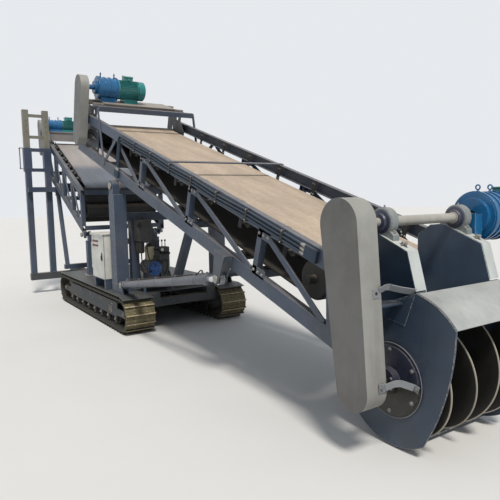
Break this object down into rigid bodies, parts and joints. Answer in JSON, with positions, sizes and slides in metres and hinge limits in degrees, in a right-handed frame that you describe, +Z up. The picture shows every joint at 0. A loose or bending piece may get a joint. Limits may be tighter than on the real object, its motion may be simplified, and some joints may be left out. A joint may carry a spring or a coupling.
{
  "type": "tracked auger belt loader",
  "caption": "Crawler-tracked loader: a cross auger at a sloping trussed belt boom feeds a rear discharge conveyor carried on a mast.",
  "frame": {"origin": "on the ground under the middle of the machine", "axes": "+X ahead towards the auger head, +Y to the machine's left, +Z up"},
  "size_m": [8.7773, 2.371, 3.4726],
  "materials": {
    "hose rubber": "black hose under dust",
    "structure": "slate blue-grey paint, dusty",
    "tracks": "dusty steel shoes",
    "wheels": "dark worn steel",
    "deck": "painted plate under dust",
    "dark steel": "dark paint",
    "gearmotor blue": "blue gloss paint",
    "main belt": "rubber belt under tan dust",
    "lagged drums": "rubber lagging",
    "hanger steel": "beige-grey primer",
    "guards": "mid grey paint",
    "head plates": "grey paint, dusty",
    "lip steel": "near-white grey",
    "worn steel": "worn steel",
    "cylinder paint": "grey paint",
    "rod chrome": "hard chrome",
    "tank": "grey paint",
    "motor grey": "grey paint",
    "cabinet": "off-white paint",
    "rear belt": "grey rubber under dust",
    "carriage blue": "dark blue paint"
  },
  "bodies": {
    "chassis": {"track_left": "tracks", "track_right": "tracks", "track_frame_left": "structure", "track_frame_right": "structure", "track_wheels_left": "wheels", "track_wheels_right": "wheels", "chassis_frame": "structure", "deck": "deck", "boom_posts": "structure", "lift_base_ears": "structure", "pack_stand": "structure", "oil_tank": "tank", "power_pack": "motor grey", "control_cabinet": "cabinet", "rear_stand": "structure", "rear_props": "structure", "rear_mast": "structure"},
    "boom": {"boom_hoses": "hose rubber", "boom_side_left": "structure", "boom_side_right": "structure", "boom_cross_members": "structure", "boom_head_plates": "dark steel", "drive_platform": "structure", "boom_gearmotor": "gearmotor blue", "main_belt": "main belt", "boom_drums": "lagged drums", "boom_idlers": "lagged drums", "boom_pivot_hangers": "hanger steel", "lift_hangers": "hanger steel", "boom_chain_guard": "guards", "head_bulkheads": "structure", "throat": "head plates", "auger_housing": "head plates", "lip_plate": "lip steel", "auger_end_covers": "dark steel", "jackshaft_bearings": "dark steel", "auger_chain_guard": "guards", "auger_gearmotor": "gearmotor blue"},
    "discharge_conveyor": {"discharge_side_left": "structure", "discharge_side_right": "structure", "discharge_cross_members": "structure", "discharge_belt": "rear belt", "discharge_drums": "lagged drums", "discharge_gearmotor": "gearmotor blue", "discharge_chain_guard": "guards"},
    "auger": {"auger": "worn steel"},
    "jackshaft": {"jackshaft": "worn steel"},
    "lift_barrel_left": {"lift_barrel_left": "cylinder paint"},
    "lift_barrel_right": {"lift_barrel_right": "cylinder paint"},
    "lift_rod_left": {"lift_rod_left": "rod chrome"},
    "lift_rod_right": {"lift_rod_right": "rod chrome"},
    "cabinet_door": {"cabinet_door": "cabinet"},
    "carriage": {"mast_carriage": "carriage blue"}
  },
  "joints": [
    {"name": "boom_pivot", "type": "hinge", "parent": "chassis", "child": "boom", "pos_m": [-0.43, 0, 1.87], "axis": [0, -1, 0], "range_deg": [0, 12]},
    {"name": "auger_spin", "type": "hinge", "parent": "boom", "child": "auger", "pos_m": [3.91027, 0, 0.4649], "axis": [0, 1, 0], "continuous": true},
    {"name": "jackshaft_spin", "type": "hinge", "parent": "boom", "child": "jackshaft", "pos_m": [3.79527, 0, 1.4999], "axis": [0, 1, 0], "continuous": true},
    {"name": "discharge_pivot", "type": "hinge", "parent": "chassis", "child": "discharge_conveyor", "pos_m": [-2.29, 0, 1.15], "axis": [0, 1, 0], "range_deg": [0, 3]},
    {"name": "carriage_slide", "type": "slide", "parent": "chassis", "child": "carriage", "axis": [0, 0, 1], "range_m": [0, 0.11]},
    {"name": "cabinet_door_hinge", "type": "hinge", "parent": "chassis", "child": "cabinet_door", "pos_m": [-1.202, -0.86, 0.925], "axis": [0, 0, -1], "range_deg": [0, 110]},
    {"name": "lift_barrel_left_pivot", "type": "hinge", "parent": "chassis", "child": "lift_barrel_left", "pos_m": [-0.24, 0.77, 0.6], "axis": [0, -1, 0], "range_deg": [0, 12]},
    {"name": "lift_rod_left_slide", "type": "slide", "parent": "lift_barrel_left", "child": "lift_rod_left", "axis": [0.9888, 0, 0.1495], "range_m": [0, 0.28]},
    {"name": "lift_barrel_right_pivot", "type": "hinge", "parent": "chassis", "child": "lift_barrel_right", "pos_m": [-0.24, -0.77, 0.6], "axis": [0, -1, 0], "range_deg": [0, 12]},
    {"name": "lift_rod_right_slide", "type": "slide", "parent": "lift_barrel_right", "child": "lift_rod_right", "axis": [0.9888, 0, 0.1495], "range_m": [0, 0.28]}
  ],
  "couplings": [
    {"joint": "auger_spin", "follows": "jackshaft_spin", "ratio": 0.5},
    {"joint": "carriage_slide", "follows": "discharge_pivot", "m_per_rad": 2.05},
    {"joint": "lift_barrel_left_pivot", "follows": "boom_pivot", "ratio": 0.9558},
    {"joint": "lift_rod_left_slide", "follows": "boom_pivot", "m_per_rad": 1.2816},
    {"joint": "lift_barrel_right_pivot", "follows": "boom_pivot", "ratio": 0.9558},
    {"joint": "lift_rod_right_slide", "follows": "boom_pivot", "m_per_rad": 1.2816}
  ]
}
